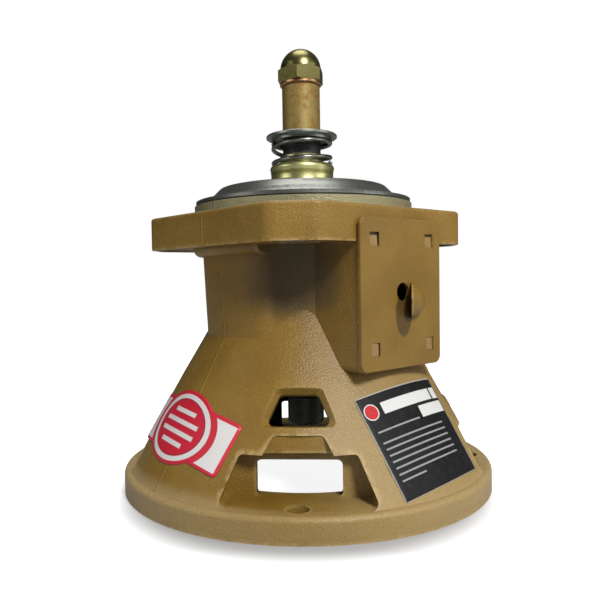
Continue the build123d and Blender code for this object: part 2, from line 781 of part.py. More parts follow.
with BuildPart() as seal_shell:
    with BuildSketch(Plane.XZ):
        with BuildLine():
            shell_shoulder = (shell_radius - shell_shoulder_radius, shell_top_z)
            shell_side = (shell_radius, shell_top_z - shell_shoulder_radius)
            shell_hem = (shell_radius, shell_foot_z + shell_wall)
            Polyline(
                shell_shoulder, (seal_grip_radius, shell_top_z),
                (seal_grip_radius, shell_top_z - shell_wall), (shell_bore, shell_top_z - shell_wall),
                (shell_bore, shell_foot_z), (shell_radius, shell_foot_z), shell_hem,
            )
            ThreePointArc(
                shell_hem, (shell_radius - shell_waist, (shell_foot_z + shell_top_z) / 2), shell_side,
            )
            RadiusArc(shell_side, shell_shoulder, -shell_shoulder_radius)
        make_face()
    revolve(axis=Axis.Z)
finish(seal_shell.part, "seal_shell")

with BuildPart() as seal_drive_band:
    ring(seal_grip_radius, drive_band_radius, shell_top_z, shell_top_z + drive_band_height)
    chamfer(rims(seal_drive_band, drive_band_radius)[-1], drive_band_edge)
finish(seal_drive_band.part, "seal_drive_band")


def coil_point(step_number):
    """Point on the spring's wire: flat at both end coils, climbing smoothly between them."""
    turn = step_number / spring_points_per_turn
    climb = (turn - spring_closed_turns) / (spring_turns - 2 * spring_closed_turns)
    climb = min(max(climb, 0), 1)
    foot = shell_top_z + spring_wire_radius + pressed_gap
    rise = spring_height - 2 * (spring_wire_radius + pressed_gap)
    return (
        spring_coil_radius * cos(2 * pi * turn),
        spring_coil_radius * sin(2 * pi * turn),
        foot + rise * climb**2 * (3 - 2 * climb),
    )


# Seal spring between the shell and the retainer
with BuildPart() as seal_spring:
    with BuildLine() as spring_path:
        Spline(*[coil_point(step) for step in range(int(spring_turns * spring_points_per_turn) + 1)])
    with BuildSketch(Plane(spring_path.line @ 0, z_dir=spring_path.line % 0)):
        Circle(spring_wire_radius)
    sweep(path=spring_path.line)
finish(seal_spring.part, "seal_spring")


# Spring retainer: a washer with a shallow step that centres the spring's end
with BuildPart() as spring_retainer:
    turned([
        (retainer_bore, spring_top_z), (retainer_step_radius, spring_top_z),
        (retainer_step_radius, retainer_rim_foot_z), (retainer_rim_radius, retainer_rim_foot_z),
        (retainer_rim_radius, retainer_top_z), (retainer_bore, retainer_top_z),
    ])
    chamfer(rims(spring_retainer, retainer_rim_radius), retainer_edge_chamfer)
finish(spring_retainer.part, "spring_retainer")


# Shaft sleeve: thinner under the seal, full size above it
with BuildPart() as shaft_sleeve:
    sleeve_bore = sleeve_seat_radius + pressed_gap
    turned([
        (sleeve_bore, shaft_shoulder_z), (seal_seat_on_sleeve_radius, shaft_shoulder_z),
        (seal_seat_on_sleeve_radius, bellows_top_z), (sleeve_radius, bellows_top_z),
        (sleeve_radius, sleeve_top_z - sleeve_chamfer), (sleeve_radius - sleeve_chamfer, sleeve_top_z),
        (sleeve_bore, sleeve_top_z),
    ])
finish(shaft_sleeve.part, "shaft_sleeve")

with BuildPart() as nut_washer:
    ring(thread_radius + pressed_gap, nut_washer_radius, sleeve_top_z, nut_foot_z)
    chamfer(rims(nut_washer, nut_washer_radius)[0], sleeve_chamfer)
finish(nut_washer.part, "nut_washer")

# Cap nut: a hexagon with chamfered corners under a dome
with BuildPart() as cap_nut:
    with BuildSketch(Plane.XY.offset(nut_foot_z)):
        RegularPolygon(nut_flats / 2, 6, major_radius=False, rotation=nut_turn - 90)
    extrude(amount=nut_hex_height)
    corner_radius = nut_flats / 2 / cos(radians(30))
    with BuildSketch(Plane.XZ):
        with BuildLine():
            Polyline(
                (0, nut_foot_z), (nut_flats / 2, nut_foot_z),
                (corner_radius, nut_foot_z + nut_chamfer_drop / 2),
                (corner_radius, nut_dome_z - nut_chamfer_drop), (nut_flats / 2, nut_dome_z),
                (0, nut_dome_z), close=True,
            )
        make_face()
    revolve(axis=Axis.Z, mode=Mode.INTERSECT)
    with BuildSketch(Plane.XZ):
        with BuildLine():
            Line((0, nut_dome_z), (nut_dome_radius, nut_dome_z))
            RadiusArc((nut_dome_radius, nut_dome_z), (0, nut_dome_z + nut_dome_radius), -nut_dome_radius)
            Line((0, nut_dome_z + nut_dome_radius), (0, nut_dome_z))
        make_face()
    revolve(axis=Axis.Z)
    with BuildSketch(Plane.XY.offset(nut_foot_z)):
        Circle(thread_radius + pressed_gap)
    extrude(amount=nut_thread_depth, mode=Mode.SUBTRACT)
finish(cap_nut.part, "cap_nut")
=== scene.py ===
# Pump pedestal: paint, bare metals, seal spring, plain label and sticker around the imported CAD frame
from math import atan2, cos, hypot, pi, radians, sin

import bpy
from mathutils import Matrix, Vector


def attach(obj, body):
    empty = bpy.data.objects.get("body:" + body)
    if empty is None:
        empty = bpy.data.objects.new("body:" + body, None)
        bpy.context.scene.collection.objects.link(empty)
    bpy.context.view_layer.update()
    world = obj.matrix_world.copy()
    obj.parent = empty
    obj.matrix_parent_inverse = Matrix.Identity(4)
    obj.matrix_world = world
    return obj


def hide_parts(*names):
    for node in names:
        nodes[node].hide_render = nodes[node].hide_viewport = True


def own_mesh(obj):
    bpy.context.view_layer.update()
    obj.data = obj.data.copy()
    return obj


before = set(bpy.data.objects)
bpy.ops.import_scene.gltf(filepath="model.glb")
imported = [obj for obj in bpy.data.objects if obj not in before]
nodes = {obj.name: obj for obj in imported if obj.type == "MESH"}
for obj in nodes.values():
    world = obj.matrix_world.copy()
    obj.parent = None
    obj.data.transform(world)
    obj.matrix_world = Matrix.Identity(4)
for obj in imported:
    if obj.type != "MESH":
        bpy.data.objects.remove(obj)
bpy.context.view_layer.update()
mm = 0.001
print("frame loaded with", len(nodes), "nodes")


class Wire:  # a node's output socket that takes part in plain arithmetic
    def __init__(self, tree, socket=None):
        self.tree = tree
        self.socket = socket

    def node(self, kind, settings=None, inputs=None, output=0):
        made = self.tree.nodes.new("ShaderNode" + kind)
        for key, value in (settings or {}).items():
            setattr(made, key, value)
        for key, value in (inputs or {}).items():
            if isinstance(value, Wire):
                self.tree.links.new(value.socket, made.inputs[key])
            else:
                made.inputs[key].default_value = value
        return Wire(self.tree, made.outputs[output])

    def maths(self, operation, *values):
        if all(not isinstance(value, Wire) or value.socket.type == "VALUE" for value in values):
            return self.node("Math", {"operation": operation}, dict(enumerate(values)))
        spread = [value if isinstance(value, Wire) else (value,) * 3 for value in values]
        return self.node("VectorMath", {"operation": operation}, dict(enumerate(spread)))

    def __add__(self, other):
        return self.maths("ADD", self, other)

    def __radd__(self, other):
        return self.maths("ADD", other, self)

    def __sub__(self, other):
        return self.maths("SUBTRACT", self, other)

    def __rsub__(self, other):
        return self.maths("SUBTRACT", other, self)

    def __mul__(self, other):
        return self.maths("MULTIPLY", self, other)

    def __rmul__(self, other):
        return self.maths("MULTIPLY", other, self)

    def __truediv__(self, other):
        return self.maths("DIVIDE", self, other)

    def __neg__(self):
        return self.maths("MULTIPLY", self, -1.0)

    def __abs__(self):
        return self.maths("ABSOLUTE", self)

    def root(self):
        return self.maths("SQRT", self)

    def sine(self):
        return self.maths("SINE", self)

    def cosine(self):
        return self.maths("COSINE", self)

    def lower(self, other):
        return self.maths("MINIMUM", self, other)

    def higher(self, other):
        return self.maths("MAXIMUM", self, other)

    def step(self, low, high):  # 0 at low and 1 at high, eased between them, whichever of the two is larger
        return self.node("MapRange", {"interpolation_type": "SMOOTHSTEP"}, {0: self, 1: low, 2: high})

    def mix(self, without, within):  # this wire is the mask
        return self.node("Mix", {"data_type": "RGBA"}, {0: self, 6: without, 7: within}, 2)

    def axis(self, number):
        return self.node("SeparateXYZ", {}, {0: self}, number)

    def radius(self):
        return (self.axis(0) * self.axis(0) + self.axis(1) * self.axis(1)).root()

    def noise(self, size, detail=2.0, roughness=0.5):  # size of one blotch in mm
        inputs = {"Vector": self, "Scale": 1 / size, "Detail": detail, "Roughness": roughness}
        return self.node("TexNoise", {}, inputs)

    def nearness(self, reach, inside):  # 1 on sharp edges (inside) or in hollows (outside), 0 on open faces
        settings = {"inside": inside, "only_local": True, "samples": 6}
        return 1 - self.node("AmbientOcclusion", settings, {"Distance": reach * mm}, 1)

    def bump(self, depth, under=None):  # depth in mm for a height of 0 to 1
        inputs = {"Strength": 1.0, "Distance": depth * mm, "Height": self}
        if under:
            inputs["Normal"] = under
        return self.node("Bump", {}, inputs)


def surface(name, constants, build):
    material = bpy.data.materials.new(name)
    material.use_nodes = True
    tree = material.node_tree
    tree.nodes.clear()
    shader = tree.nodes.new("ShaderNodeBsdfPrincipled")
    output = tree.nodes.new("ShaderNodeOutputMaterial")
    tree.links.new(shader.outputs[0], output.inputs[0])
    for key, value in constants.items():
        shader.inputs[key].default_value = value
    start = Wire(tree)
    place = start.node("TexCoord", {}, {}, "Object") * 1000.0  # in mm
    facing = start.node("TexCoord", {}, {}, "Normal")
    for key, wire in build(place, facing).items():
        tree.links.new(wire.socket, shader.inputs[key])
    return material


def dress(material, *names):
    for name in names:
        mesh = nodes[name].data
        mesh.materials.clear()
        mesh.materials.append(material)


def tone(red, green, blue):
    return (red, green, blue, 1.0)


def between(value, low, high, edge=0.1):
    return value.step(low - edge, low + edge) * value.step(high + edge, high - edge)


def inBox(u, v, box, edge=0.10):
    left, low, right, high = box
    across = abs(u - (left + right) / 2) - (right - left) / 2
    along = abs(v - (low + high) / 2) - (high - low) / 2
    return across.higher(along).step(edge, -edge)


def inBoxes(u, v, boxes, edge=0.10):
    mask = inBox(u, v, boxes[0], edge)
    for box in boxes[1:]:
        mask = mask.higher(inBox(u, v, box, edge))
    return mask


# Camera, at the photograph's angle; spot in mm, turn in degrees, pitch and roll in radians
camera = {
    "spot": (13.155, -279.87, 84.96), "turn": 4.2, "pitch": 0.0402, "roll": 0.0172,
    "lens": 38.867, "sensor": 36.0, "shift": 0.02797, "nearest": 10.0,
}


def makeCamera(part):
    turn, pitch, roll = radians(part["turn"]), part["pitch"], part["roll"]
    right = Vector((cos(turn), sin(turn), 0))
    forward = Vector((-sin(turn) * cos(pitch), cos(turn) * cos(pitch), -sin(pitch)))
    up = right.cross(forward)
    across = cos(roll) * right - sin(roll) * up
    upright = sin(roll) * right + cos(roll) * up
    turned = Matrix((across, upright, -forward)).transposed().to_4x4()
    data = bpy.data.cameras.new("pedestalCamera")
    data.lens = part["lens"]
    data.sensor_width = part["sensor"]
    data.shift_x = part["shift"]
    data.clip_start = part["nearest"] * mm
    eye = bpy.data.objects.new("pedestalCamera", data)
    eye.matrix_world = Matrix.Translation(Vector(part["spot"]) * mm) @ turned
    bpy.context.scene.collection.objects.link(eye)
    bpy.context.scene.camera = eye


makeCamera(camera)

# Pale floor, white surroundings and soft lamps; each lamp: spot and size in mm, power in watts
studio = {
    "floorHalf": 2000.0, "floorTone": 0.52, "whiteFrom": 78.0, "whiteAt": 97.0, "frontOnly": 0.22,
    "glowFrom": 70.0, "glowWithin": 66.0, "insideGlow": 0.90,
    "contactShade": 0.26, "contactWidth": 26.0, "footRadius": 76.0,
    "surroundings": 0.08, "leftShade": 0.60, "leftFrom": -0.9, "leftTo": 0.6,
    "lamps": {
        "keyLamp": ((412, -808, 787), 260, 13.6),
        "leftLamp": ((-900, -500, 500), 600, 1.8),
        "rightLamp": ((950, -250, 350), 600, 1.9),
        "topLamp": ((0, 100, 1000), 600, 3.6),
    },
    "aim": (0, 0, 80),
}


def floorSheet(place, facing):  # runs out into plain white, glows for the camera only, and carries a painted contact shadow round the foot
    part = studio
    radius = place.radius()
    behind = (place.axis(1) + part["whiteFrom"]).higher(0.0) * part["frontOnly"]  # shade lies mostly in front
    white = (radius + behind).step(part["whiteFrom"], part["whiteAt"])
    under = radius.step(part["glowFrom"], part["glowWithin"])
    # painted contact shadow: the floor's colour darkened in a ring round the foot
    contactShadow = (radius - part["footRadius"]).step(part["contactWidth"], 0.0) * part["contactShade"]
    seen = place.node("LightPath", {}, {}, "Is Camera Ray")
    return {
        "Base Color": ((1 - contactShadow) * part["floorTone"]).mix(tone(0, 0, 0), tone(1, 1, 1)),
        "Emission Color": (seen * white.higher(under * part["insideGlow"])).mix(tone(0, 0, 0), tone(1, 1, 1)),
    }


def makeFloor(part):
    half = part["floorHalf"] * mm
    mesh = bpy.data.meshes.new("studioFloor")
    corners = [(-half, -half, 0), (half, -half, 0), (half, half, 0), (-half, half, 0)]
    mesh.from_pydata(corners, [], [(0, 1, 2, 3)])
    constants = {"Roughness": 1.0, "Specular IOR Level": 0.0, "Emission Strength": 1.0}
    mesh.materials.append(surface("floorSheet", constants, floorSheet))
    floor = bpy.data.objects.new("studioFloor", mesh)
    bpy.context.scene.collection.objects.link(floor)


def makeLamps(part):
    for name, (spot, size, power) in part["lamps"].items():
        data = bpy.data.lights.new(name, "AREA")
        data.shape = "DISK"
        data.size = size * mm
        data.energy = power
        lamp = bpy.data.objects.new(name, data)
        lamp.location = Vector(spot) * mm
        lamp.rotation_euler = (Vector(part["aim"]) - Vector(spot)).to_track_quat("-Z", "Y").to_euler()
        bpy.context.scene.collection.objects.link(lamp)


def makeSurroundings(part):  # dim and darker on the left for the object, plain white for the camera
    world = bpy.data.worlds.new("studioWorld")
    world.use_nodes = True
    tree = world.node_tree
    tree.nodes.clear()
    start = Wire(tree)
    side = start.node("TexCoord", {}, {}, "Generated").axis(0).step(part["leftFrom"], part["leftTo"])
    level = (side * (1 - part["leftShade"]) + part["leftShade"]) * part["surroundings"]
    seen = start.node("LightPath", {}, {}, "Is Camera Ray")
    sky = start.node("Background", {}, {"Color": tone(1, 1, 1), "Strength": level.higher(seen)})
    output = tree.nodes.new("ShaderNodeOutputWorld")
    tree.links.new(sky.socket, output.inputs[0])
    bpy.context.scene.world = world
    bpy.context.scene.view_settings.view_transform = "Standard"


makeFloor(studio)
makeLamps(studio)
makeSurroundings(studio)
print("camera, floor and lamps placed")

# Gold-brown enamel over the sand-cast bracket; lengths and places in mm, pairs run from nothing to full
casting = {
    "paint": tone(0.228, 0.132, 0.019), "paintDeep": tone(0.186, 0.103, 0.013),
    "paintPale": tone(0.300, 0.188, 0.042), "specular": 0.38, "cloudSize": 26.0, "cloudStep": (0.34, 0.66),
    # pebbly grain left by the sand
    "grainSize": 0.66, "grainDepth": 0.13, "ragged": 0.5, "fineSize": 0.28, "fineDepth": 0.03,
    "swellSize": 11.0, "swellDepth": 0.45,
    "peaks": (0.55, 0.80), "peakShare": 0.35, "pits": (0.42, 0.25), "pitShare": 0.4,
    # parting line of the mould
    "partingAzimuth": -45.3, "partingHalf": 0.55, "partingDepth": 0.22,
    "partingRadius": (38.0, 40.0), "partingShare": 0.5,
    # inside of the bell: rough iron, made near-black as painted shade
    "inside": tone(0.030, 0.032, 0.025), "apexZ": 132.05, "slope": 0.59813, "wall": (4.8, 5.6),
    "pocketPlane": (54.2, 53.2), "ceilingZ": (52.8, 52.5), "sillZ": (9.1, 9.6),
    # machined faces, spotfaces and holes
    "bareIron": tone(0.40, 0.40, 0.38), "boltCircle": 52.0, "boltRadius": (5.5, 5.4), "boltZ": (90.0, 91.0),
    "spotfaceRadius": (9.5, 9.4), "spotfaceZ": 98.0, "spotfaceBand": (0.35, 0.20),
    "topFaceZ": (110.35, 110.4), "topFaceRadius": (44.0, 44.5), "footZ": (0.1, 0.05),
    "level": (0.7, 0.8), "lathePitch": 0.25,
    # turned register, thinly painted
    "registerTone": tone(0.29, 0.265, 0.145), "registerRadius": 45.4,
    "registerBand": (0.3, 0.2), "registerZ": (110.4, 110.6),
    # paint worn off edges, painted shade in hollows, soot and painted shade under the flange
    "worn": tone(0.46, 0.34, 0.15), "edgeReach": 2.2, "edgeStep": (0.16, 0.50), "edgeShare": 0.6,
    "chipSize": 3.0, "chips": (0.30, 0.62),
    "hollowShadeTone": tone(0.075, 0.055, 0.026), "hollowReach": 26.0, "hollowStep": (0.15, 0.75), "hollowShadeShare": 0.6,
    "hollowShadeZ": (42.0, 62.0),
    "sootAndShade": tone(0.030, 0.028, 0.020), "sootShadeSpot": (-1.0, -37.0, 84.0), "sootShadeReach": 23.0, "sootShadeCore": 0.3,
    "sootShadeRadius": (52.0, 46.0), "sootShadeZ": (66.0, 76.0), "sootShadeShare": 0.68,
    # dust and painted sheen on the rim, painted sheen on the side towards the light
    "dustAndSheenTone": tone(0.40, 0.30, 0.145), "rimRadius": (68.0, 72.0), "rimZ": (14.0, 9.0),
    "paintedSheenSide": (0.92, 1.42), "paintedSheenZ": (75.0, 30.0),
}


def insideShadeMask(part, place, radius):
    x, y, z = place.axis(0), place.axis(1), place.axis(2)
    behindSkin = ((part["apexZ"] - z) * part["slope"] - radius).step(*part["wall"])
    behindPocket = abs(x).higher(abs(y)).step(*part["pocketPlane"])
    return behindSkin * behindPocket * z.step(*part["ceilingZ"]) * z.step(*part["sillZ"])


def machinedMask(part, place, facing, radius):
    x, y, z = place.axis(0), place.axis(1), place.axis(2)
    upward = facing.axis(2)
    acrossX, acrossY = abs(x) - part["boltCircle"], abs(y) - part["boltCircle"]
    fromBolt = (acrossX * acrossX + y * y).lower(x * x + acrossY * acrossY).root()
    spotface = fromBolt.step(*part["spotfaceRadius"]) * abs(z - part["spotfaceZ"]).step(*part["spotfaceBand"])
    bore = fromBolt.step(*part["boltRadius"]) * z.step(*part["boltZ"])
    topFace = upward.step(*part["level"]) * z.step(*part["topFaceZ"]) * radius.step(*part["topFaceRadius"])
    footFace = (-upward).step(*part["level"]) * z.step(*part["footZ"])
    return spotface.higher(bore).higher(topFace).higher(footFace)


# soot and painted shade: a dark patch on the neck under the front corner of the flange
def sootAndShadeMask(part, place, radius):
    away = [place.axis(number) - centre for number, centre in enumerate(part["sootShadeSpot"])]
    squared = away[0] * away[0] + away[1] * away[1] + away[2] * away[2]
    squared = squared * (0.55 + place.noise(9.0, 3.0, 0.6) * 0.9)  # a ragged border
    core = squared.step(part["sootShadeReach"] ** 2, (part["sootShadeReach"] * part["sootShadeCore"]) ** 2)
    return core * radius.step(*part["sootShadeRadius"]) * place.axis(2).step(*part["sootShadeZ"])


# dust and painted sheen: paler paint round the rim, most on its sides, and a painted sheen on the side towards
# the key lamp
def dustAndSheenMask(part, place, radius):
    x, y, z = place.axis(0), place.axis(1), place.axis(2)
    rim = radius.step(*part["rimRadius"]) * z.step(*part["rimZ"]) * (0.55 + abs(x) / (radius + 1.0) * 0.85)
    return rim.higher(((x - y) / (radius + 1.0)).step(*part["paintedSheenSide"]) * z.step(*part["paintedSheenZ"]))


def castingPaint(place, facing):
    part = casting
    z = place.axis(2)
    radius = place.radius()
    pebbles = place.node("TexVoronoi", {}, {"Vector": place, "Scale": 1 / part["grainSize"]})
    grain = 0.95 - pebbles * 0.9 + (place.noise(part["grainSize"] * 2, 2.0) - 0.5) * part["ragged"]
    fine = place.noise(part["fineSize"], 1.0)
    swell = place.noise(part["swellSize"], 1.0)
    cloud = place.noise(part["cloudSize"], 3.0)
    turn = radians(part["partingAzimuth"])
    fromSeam = abs(place.axis(0) * cos(turn) + place.axis(1) * sin(turn))
    seam = (1 - fromSeam.step(0.0, part["partingHalf"])) * radius.step(*part["partingRadius"])
    insideShade = insideShadeMask(part, place, radius)
    bare = machinedMask(part, place, facing, radius)
    ring = abs(radius - part["registerRadius"]).step(*part["registerBand"]) * z.step(*part["registerZ"])
    edge = place.nearness(part["edgeReach"], True).step(*part["edgeStep"])
    edge = edge * place.noise(part["chipSize"], 2.0).step(*part["chips"])
    # painted shade: the colour darkens in hollows found by ambient occlusion, mostly high on the neck
    hollowShade = place.nearness(part["hollowReach"], False).step(*part["hollowStep"])
    hollowShade = hollowShade * (z.step(*part["hollowShadeZ"]) * 0.95 + 0.05)
    # soot and painted shade under the flange
    sootAndShade = sootAndShadeMask(part, place, radius)
    dustAndSheen = dustAndSheenMask(part, place, radius) * (0.35 + fine.step(0.30, 0.70) * 0.35)
    color = cloud.step(*part["cloudStep"]).mix(part["paintDeep"], part["paint"])
    pale = grain.step(*part["peaks"]) * part["peakShare"] + seam * part["partingShare"]
    color = pale.mix(color, part["paintPale"])
    color = (grain.step(*part["pits"]) * part["pitShare"]).mix(color, part["paintDeep"])
    color = dustAndSheen.mix(color, part["dustAndSheenTone"])
    color = (hollowShade * part["hollowShadeShare"]).mix(color, part["hollowShadeTone"])
    color = (sootAndShade * part["sootShadeShare"]).mix(color, part["sootAndShade"])
    color = (edge * part["edgeShare"]).mix(color, part["worn"])
    color = (ring * (0.7 + cloud * 0.4)).mix(color, part["registerTone"])
    color = bare.mix(color, part["bareIron"])
    # painted shade: the inside of the bell coloured near-black
    color = insideShade.mix(color, part["inside"])
    lathe = (radius * (1 / part["lathePitch"])).sine() * bare
    raised = swell.bump(part["swellDepth"])
    raised = (grain * (1 - bare)).bump(part["grainDepth"], raised)
    raised = (fine * (1 - bare * 0.6)).bump(part["fineDepth"], raised)
    raised = (seam + lathe * 0.05).bump(part["partingDepth"], raised)
    return {
        "Base Color": color,
        "Roughness": 0.36 + cloud * 0.14 + bare * 0.05 + insideShade * 0.35,
        "Metallic": bare * 0.5 + ring * 0.4,
        "Normal": raised,
    }


# Pressed cover of the oil well, with a painted shadow of the hood below its hole; a box is left, low, right,
# high on its face
cover = {
    "paint": tone(0.206, 0.121, 0.019), "paintDeep": tone(0.176, 0.099, 0.014), "faceAt": 53.6,
    "cloudSize": 22.0, "peelSize": 1.3, "peelDepth": 0.04, "dentSize": 14.0, "dentDepth": 0.2,
    "edgeStep": (0.5, 0.9), "chipSize": 2.0, "chips": (0.25, 0.60),
    "tabs": [(12.3, 56.8, 17.7, 62.2), (12.3, 95.2, 17.7, 100.6)], "tabTone": tone(0.300, 0.190, 0.085),
    "tabSunk": (0.04, 0.20), "slitShadowBox": (12.9, 99.3, 17.6, 100.3), "slitShadow": tone(0.022, 0.015, 0.008),
    "oil": tone(0.068, 0.040, 0.014), "oilSpot": (0.3, 70.8), "oilHalf": (4.6, 8.6), "oilEdge": (1.05, 0.75),
}


def coverPaint(place, facing):
    part = cover
    x, y, z = place.axis(0), place.axis(1), place.axis(2)
    slant = cos(pi / 4)  # the box stands at 45 degrees
    along, outward = (x + y) * slant, (x - y) * slant
    straight = (facing.axis(0) - facing.axis(1)) * slant
    cloud = place.noise(part["cloudSize"], 3.0)
    peel = place.noise(part["peelSize"], 1.0)
    edge = place.nearness(casting["edgeReach"] * 0.5, True).step(*part["edgeStep"])
    edge = edge * place.noise(part["chipSize"], 2.0).step(*part["chips"])
    tabs = inBoxes(abs(along), z, part["tabs"])
    # painted shadow: a dark band under the top edge of the upper tabs, and on tab recess walls that turn away
    # from straight out
    slitShadow = inBox(abs(along), z, part["slitShadowBox"], 0.25).higher(tabs * straight.step(0.80, 0.45))
    # painted shadow of the hood on the cover below the oil hole, also made a little glossier
    ripple = (place.noise(2.4, 2.0) - 0.5) * 0.35
    u = (along - part["oilSpot"][0]) / part["oilHalf"][0]
    v = (z - part["oilSpot"][1]) / part["oilHalf"][1]
    oil = (u * u + v * v + ripple).step(*part["oilEdge"]) * (outward - part["faceAt"]).step(0.3, 0.1)
    color = cloud.step(*casting["cloudStep"]).mix(part["paintDeep"], part["paint"])
    color = (peel.step(0.55, 0.85) * 0.2).mix(color, casting["paintPale"])
    color = (edge * 0.7).mix(color, casting["worn"])
    color = (tabs * (part["faceAt"] - outward).step(*part["tabSunk"]) * 0.7).mix(color, part["tabTone"])
    color = (slitShadow * 0.9).mix(color, part["slitShadow"])
    color = (oil * 0.88).mix(color, part["oil"])
    dents = place.noise(part["dentSize"], 1.0).bump(part["dentDepth"])
    return {
        "Base Color": color,
        "Roughness": 0.34 + cloud * 0.12 - oil * 0.12,
        "Normal": peel.bump(part["peelDepth"], dents),
    }


dress(surface("castingPaint", {"Specular IOR Level": casting["specular"]}, castingPaint), "bearing_bracket")
dress(surface("coverPaint", {"Specular IOR Level": casting["specular"]}, coverPaint), "oil_well_cover")
print("casting and cover painted")

# Bare metals of the shaft and seal; each row: colour, tarnish colour, roughness, tool-mark pitch and depth
# in mm, share that is tarnished, share that is metal under the dull film, and how far the tarnish follows
# the turned rings
metals = {
    "faceSteel": (tone(0.215, 0.220, 0.200), tone(0.105, 0.108, 0.095), 0.36, 0.30, 0.012, 0.50, 0.9, 0.85),
    "shaftSteel": (tone(0.230, 0.240, 0.215), tone(0.150, 0.155, 0.140), 0.55, 0.22, 0.010, 0.4, 0.5, 0.5),
    "hardSteel": (tone(0.50, 0.50, 0.49), tone(0.36, 0.35, 0.33), 0.22, 0.18, 0.006, 0.3, 1.0, 0.5),
    "sleeveCopper": (tone(0.270, 0.195, 0.060), tone(0.235, 0.112, 0.018), 0.56, 0.20, 0.012, 0.55, 0.55, 0.1),
    "washerCopper": (tone(0.42, 0.24, 0.12), tone(0.30, 0.16, 0.08), 0.32, 0.20, 0.006, 0.3, 1.0, 0.5),
    "nutBrass": (tone(0.24, 0.215, 0.080), tone(0.17, 0.140, 0.045), 0.30, 0.22, 0.008, 0.35, 1.0, 0.2),
    "cupBrass": (tone(0.66, 0.65, 0.30), tone(0.28, 0.255, 0.080), 0.34, 0.30, 0.006, 0.45, 1.0, 0.9),
    "bandBrass": (tone(0.42, 0.40, 0.22), tone(0.20, 0.185, 0.090), 0.32, 0.25, 0.006, 0.45, 1.0, 0.8),
    "washerZinc": (tone(0.28, 0.30, 0.27), tone(0.15, 0.16, 0.14), 0.34, 0.25, 0.008, 0.40, 1.0, 0.6),
    "springSteel": (tone(0.24, 0.24, 0.21), tone(0.12, 0.12, 0.10), 0.30, 0.30, 0.008, 0.4, 1.0, 0.0),
    "bearingBronze": (tone(0.58, 0.38, 0.18), tone(0.34, 0.21, 0.10), 0.34, 0.22, 0.010, 0.4, 1.0, 0.3),
}
shadedFlats = {"nutBrass": tone(0.060, 0.050, 0.015)}  # the hexagon's left-facing flats are painted darker as shade


def metalSurface(name):
    color, tarnish, rough, pitch, depth, share, bare, ringed = metals[name]

    def build(place, facing):
        turned = place.node("CombineXYZ", {}, {0: place.radius(), 1: place.axis(2), 2: place.axis(0) * 0.02})
        marks = turned.noise(pitch, 2.0)
        stain = place.noise(3.6, 3.0, 0.6) * (1 - ringed) + turned.noise(1.5, 2.0) * ringed
        smudge = place.noise(1.1, 2.0)
        mask = (stain * 0.75 + smudge * 0.25).step(0.62 - share * 0.3, 0.72 - share * 0.1)
        metal = mask.mix(color, tarnish)
        if name in shadedFlats:
            # painted shade on the nut's left-facing flats
            shadedFlat = facing.axis(0).step(-0.2, -0.5) * abs(facing.axis(2)).step(0.2, 0.1)
            metal = (shadedFlat * (0.6 + smudge * 0.4)).mix(metal, shadedFlats[name])
        return {
            "Base Color": metal,
            "Roughness": rough + mask * 0.14 + (marks - 0.5) * 0.12,
            "Normal": marks.bump(depth),
        }

    return surface(name, {"Metallic": bare}, build)


dress(metalSurface("faceSteel"), "face_plate")
dress(metalSurface("shaftSteel"), "shaft")
dress(metalSurface("hardSteel"), "thrust_collar", "collar_set_screw",
      "lower_thrust_washer", "upper_thrust_washer")
dress(metalSurface("sleeveCopper"), "shaft_sleeve")
dress(metalSurface("washerCopper"), "nut_washer")
dress(metalSurface("nutBrass"), "cap_nut")
dress(metalSurface("cupBrass"), "seal_shell")
dress(metalSurface("bandBrass"), "seal_drive_band")
dress(metalSurface("washerZinc"), "spring_retainer")
dress(metalSurface("bearingBronze"), "lower_bearing", "upper_bearing")

# Soft and mineral parts; each row: colour, second colour, roughness, grain size and depth in mm
fillers = {
    "gasketSheet": (tone(0.028, 0.028, 0.028), tone(0.055, 0.052, 0.047), 0.75, 0.5, 0.05),
    "sealRubber": (tone(0.012, 0.012, 0.012), tone(0.022, 0.021, 0.020), 0.48, 0.9, 0.02),
    "wickFelt": (tone(0.46, 0.40, 0.27), tone(0.30, 0.25, 0.15), 0.95, 0.6, 0.20),
    "seatCeramic": (tone(0.76, 0.73, 0.66), tone(0.70, 0.66, 0.58), 0.18, 2.0, 0.004),
    "faceCarbon": (tone(0.022, 0.022, 0.024), tone(0.035, 0.035, 0.037), 0.34, 0.7, 0.01),
}


def fillerSurface(name):
    color, second, rough, size, depth = fillers[name]

    def build(place, facing):
        grain = place.noise(size, 3.0, 0.6)
        return {
            "Base Color": grain.step(0.35, 0.7).mix(color, second),
            "Roughness": rough + (grain - 0.5) * 0.15,
            "Normal": grain.bump(depth),
        }

    return surface(name, {}, build)


dress(fillerSurface("gasketSheet"), "face_plate_gasket", "oil_well_gasket")
dress(fillerSurface("sealRubber"), "seal_bellows", "seal_seat_cup", "water_slinger")
dress(fillerSurface("wickFelt"), "lower_oil_wick", "upper_oil_wick")
dress(fillerSurface("seatCeramic"), "seal_seat")
dress(fillerSurface("faceCarbon"), "seal_face")
print("metals, rubbers and felt dressed")


def makePiece(name, spots, faces, material):
    mesh = bpy.data.meshes.new(name)
    mesh.from_pydata([Vector(spot) * mm for spot in spots], [], faces)
    mesh.polygons.foreach_set("use_smooth", [True] * len(mesh.polygons))
    mesh.validate()
    mesh.update()
    mesh.materials.append(material)
    piece = bpy.data.objects.new(name, mesh)
    bpy.context.scene.collection.objects.link(piece)
    return piece


def bridge(first, second, count):  # faces from one closed ring of points to the next
    faces = []
    for number in range(count):
        after = (number + 1) % count
        faces.append((first + number, second + number, second + after, first + after))
    return faces


